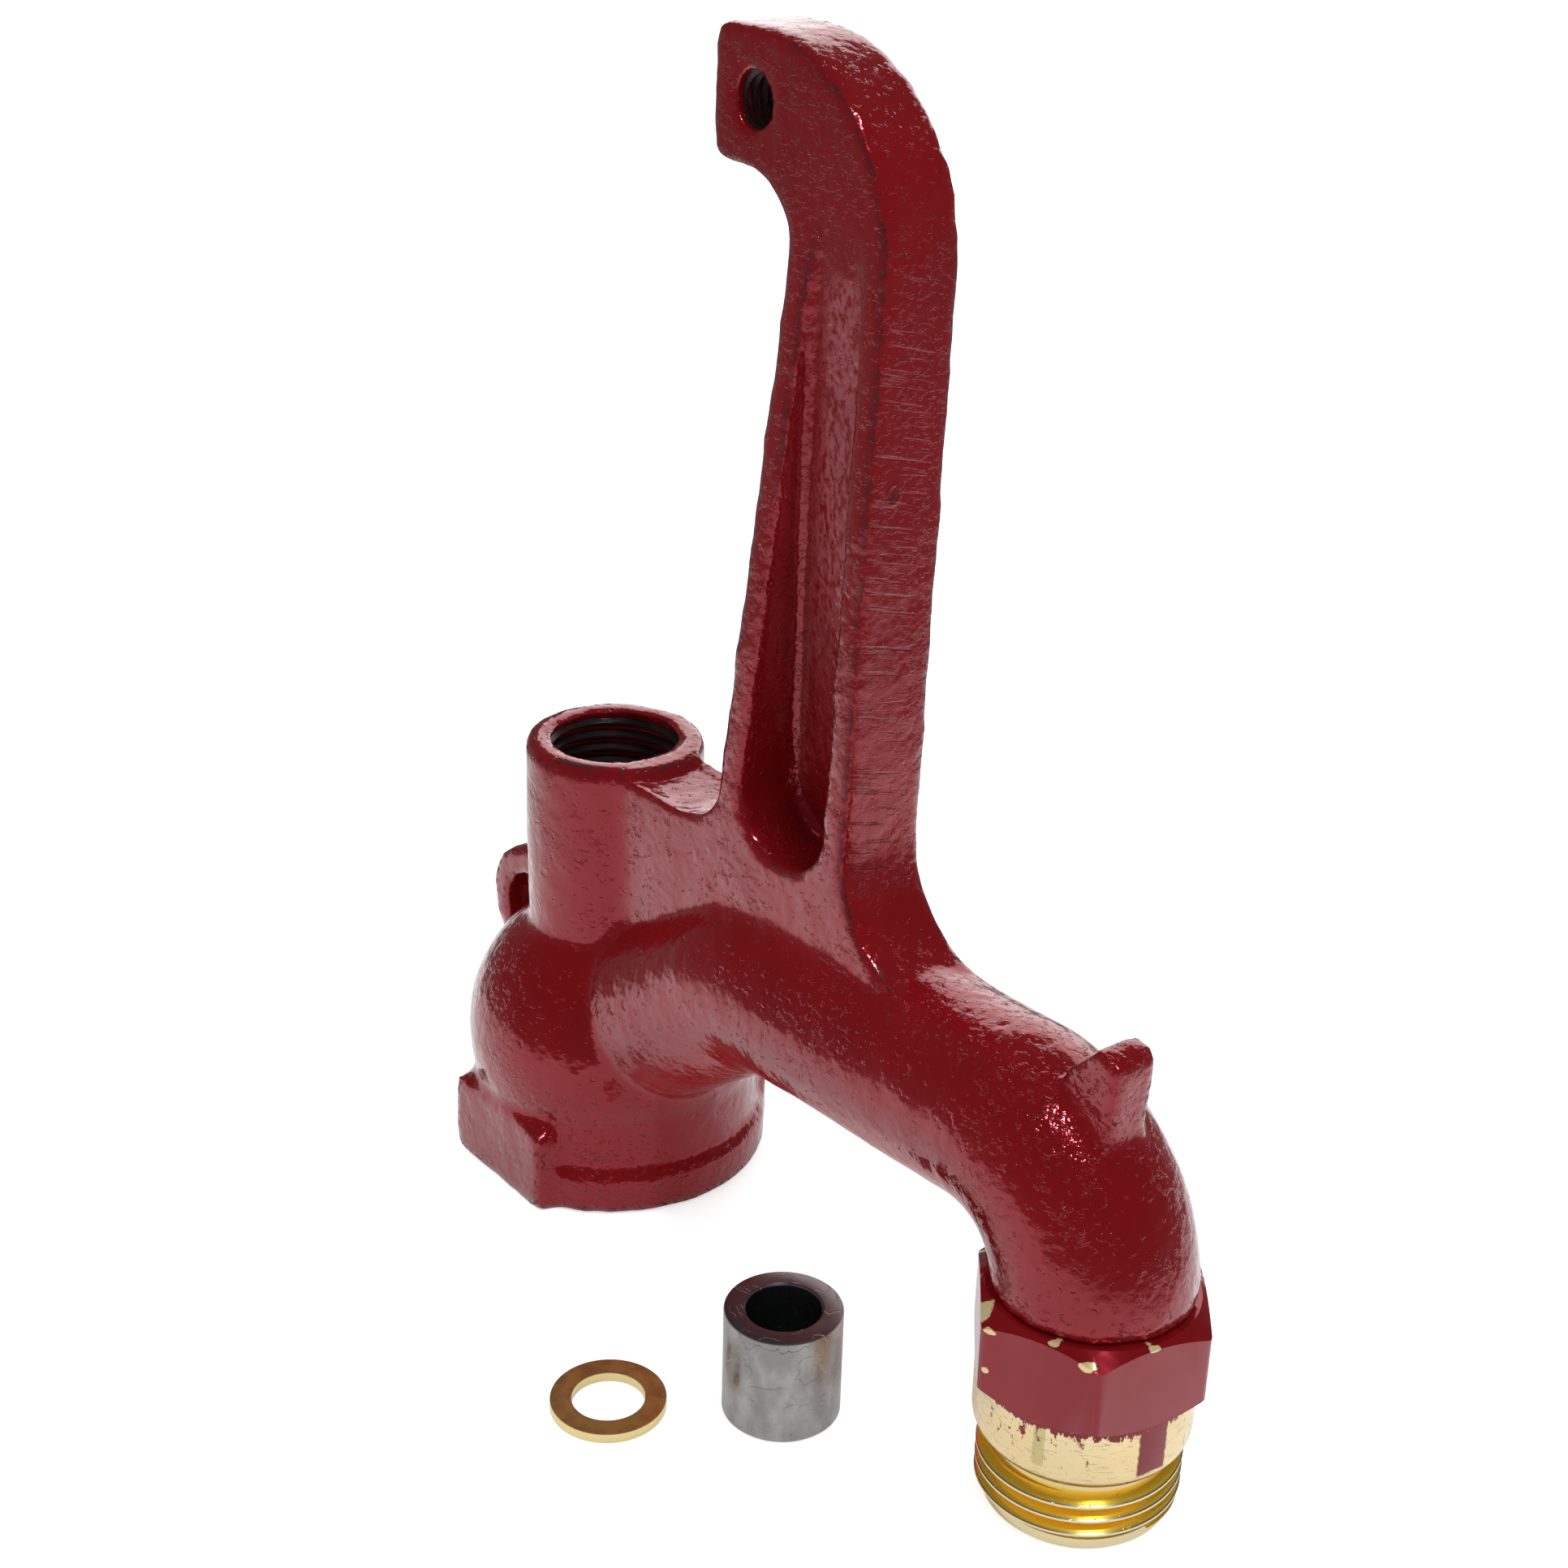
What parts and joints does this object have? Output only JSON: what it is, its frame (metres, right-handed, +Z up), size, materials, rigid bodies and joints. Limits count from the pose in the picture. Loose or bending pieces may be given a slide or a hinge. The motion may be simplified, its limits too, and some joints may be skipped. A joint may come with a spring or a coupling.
{
  "type": "yard hydrant head",
  "caption": "Cast iron yard hydrant head: globe foot with pipe socket and stuffing box, hooked lever arm, elbowed spout with a brass hose nozzle, and loose packing sleeve and washer.",
  "frame": {"origin": "on the axis of the pipe socket, in the plane of the foot's face, which is also the plane that the nozzle and the loose pieces stand on", "axes": "+Z up along the pipe socket, the stuffing box and the longest extent; +X from the pipe axis along the spout to the nozzle"},
  "size_m": [0.1506, 0.0713, 0.1784],
  "materials": {
    "red_paint": "glossy red paint on sand-cast iron",
    "brass": "turned brass, partly red with overspray",
    "graphite": "pressed graphite with a silvery sheen",
    "washer_brass": "stamped brass, lightly tarnished"
  },
  "bodies": {
    "head": {"head_casting": "red_paint", "hose_nozzle": "brass"},
    "packing_body": {"packing": "graphite"},
    "washer_body": {"packing_washer": "washer_brass"}
  },
  "joints": [
    {"name": "packing_lift", "type": "slide", "parent": "head", "child": "packing_body", "axis": [0, -0.6, 0.8], "range_m": [0, 0.06]},
    {"name": "washer_lift", "type": "slide", "parent": "head", "child": "washer_body", "axis": [0, -0.6, 0.8], "range_m": [0, 0.06]}
  ]
}
